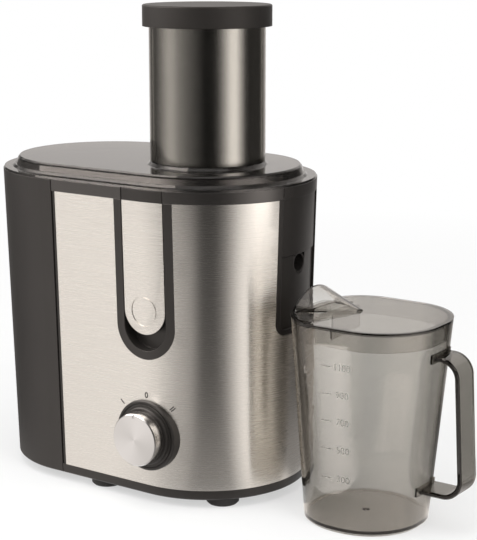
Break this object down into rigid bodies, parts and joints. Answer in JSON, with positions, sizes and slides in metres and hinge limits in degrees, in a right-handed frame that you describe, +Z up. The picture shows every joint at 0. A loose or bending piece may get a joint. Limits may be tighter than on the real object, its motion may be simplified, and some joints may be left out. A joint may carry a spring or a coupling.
{
  "type": "centrifugal juicer",
  "caption": "Centrifugal juicer: oval steel-wrapped housing, clear lid with wide feed tube and pusher, rocking latches, speed dial, slide-off pulp container and lidded jug.",
  "frame": {"origin": "on the table, at the bottom centre of the box round the juicer and its jug", "axes": "+X from the pulp container towards the spout and jug, -Y the side with the dial, +Z up"},
  "size_m": [0.4282, 0.1866, 0.3865],
  "materials": {
    "black_plastic": "fine satin moulding",
    "brushed_steel": "horizontal brushed grain",
    "stainless_mesh": "etched sheet",
    "knob_aluminium": "spun face with turned rings",
    "smoked_clear": "clear smoked moulding",
    "pusher_sleeve": "satin metal sleeve",
    "rubber": "matt rubber",
    "zinc_steel": "ground steel",
    "laminated_steel": "stacked laminations",
    "copper": "enamelled copper",
    "die_cast": "die cast",
    "carbon": "pressed carbon"
  },
  "bodies": {
    "base": {"base_plate": "black_plastic", "base_screws": "zinc_steel", "brush_holders": "black_plastic", "carbon_brushes": "carbon", "cord_bushing": "rubber", "feed_tube": "smoked_clear", "field_coils": "copper", "front_latch_pin": "zinc_steel", "front_latch_spring": "zinc_steel", "front_latch_tray": "black_plastic", "front_rim": "black_plastic", "interlock_switches": "black_plastic", "juice_collector": "black_plastic", "knob_ring": "black_plastic", "lid": "smoked_clear", "lower_bearing": "zinc_steel", "lower_bracket": "die_cast", "motor_housing": "black_plastic", "motor_mounts": "rubber", "rear_latch_pin": "zinc_steel", "rear_latch_spring": "zinc_steel", "rear_latch_tray": "black_plastic", "rear_rim": "black_plastic", "rotary_switch": "black_plastic", "rubber_feet": "rubber", "shaft_seal": "rubber", "stator_core": "laminated_steel", "steel_wrap": "brushed_steel", "upper_bearing": "zinc_steel", "upper_bracket": "die_cast"},
    "rotor": {"motor_shaft": "zinc_steel", "rotor_core": "laminated_steel", "commutator": "copper", "cooling_fan": "black_plastic", "drive_coupling": "black_plastic", "filter_hub": "black_plastic", "filter_basket": "stainless_mesh", "filter_rim": "stainless_mesh", "grater_disc": "stainless_mesh", "filter_nut": "black_plastic"},
    "speed_dial": {"knob_cap": "knob_aluminium", "knob_core": "black_plastic", "knob_shaft": "zinc_steel"},
    "front_latch": {"front_latch_lever": "black_plastic", "front_latch_strip": "brushed_steel"},
    "rear_latch": {"rear_latch_lever": "black_plastic", "rear_latch_strip": "brushed_steel"},
    "pusher": {"pusher_tube": "pusher_sleeve", "pusher_cap": "black_plastic"},
    "pulp_bin": {"pulp_container": "black_plastic"},
    "jug": {"jug_body": "smoked_clear", "jug_handle": "smoked_clear"},
    "jug_cover": {"jug_lid": "smoked_clear"}
  },
  "joints": [
    {"name": "filter_spin", "type": "hinge", "parent": "base", "child": "rotor", "pos_m": [-0.0247, 0.00594, 0.1015], "axis": [0, 0, 1], "continuous": true},
    {"name": "dial_turn", "type": "hinge", "parent": "base", "child": "speed_dial", "pos_m": [-0.0247, -0.08406, 0.0564], "axis": [0, 1, 0], "range_deg": [-45, 45]},
    {"name": "front_latch_rock", "type": "hinge", "parent": "base", "child": "front_latch", "pos_m": [-0.0247, -0.07206, 0.1965], "axis": [1, 0, 0], "range_deg": [0, 5], "stiffness_Nm_per_rad": 1, "springref_deg": -8.59},
    {"name": "rear_latch_rock", "type": "hinge", "parent": "base", "child": "rear_latch", "pos_m": [-0.0247, 0.08394, 0.1965], "axis": [-1, 0, 0], "range_deg": [0, 5], "stiffness_Nm_per_rad": 1, "springref_deg": -8.59},
    {"name": "pusher_lift", "type": "slide", "parent": "base", "child": "pusher", "axis": [0, 0, 1], "range_m": [0, 0.15]},
    {"name": "container_pull", "type": "slide", "parent": "base", "child": "pulp_bin", "axis": [-1, 0, 0], "range_m": [0, 0.12]},
    {"name": "jug_lift", "type": "slide", "parent": "base", "child": "jug", "axis": [0, 0, 1], "range_m": [0, 0.12]},
    {"name": "jug_lid_lift", "type": "slide", "parent": "jug", "child": "jug_cover", "axis": [0, 0, 1], "range_m": [0, 0.05]}
  ]
}
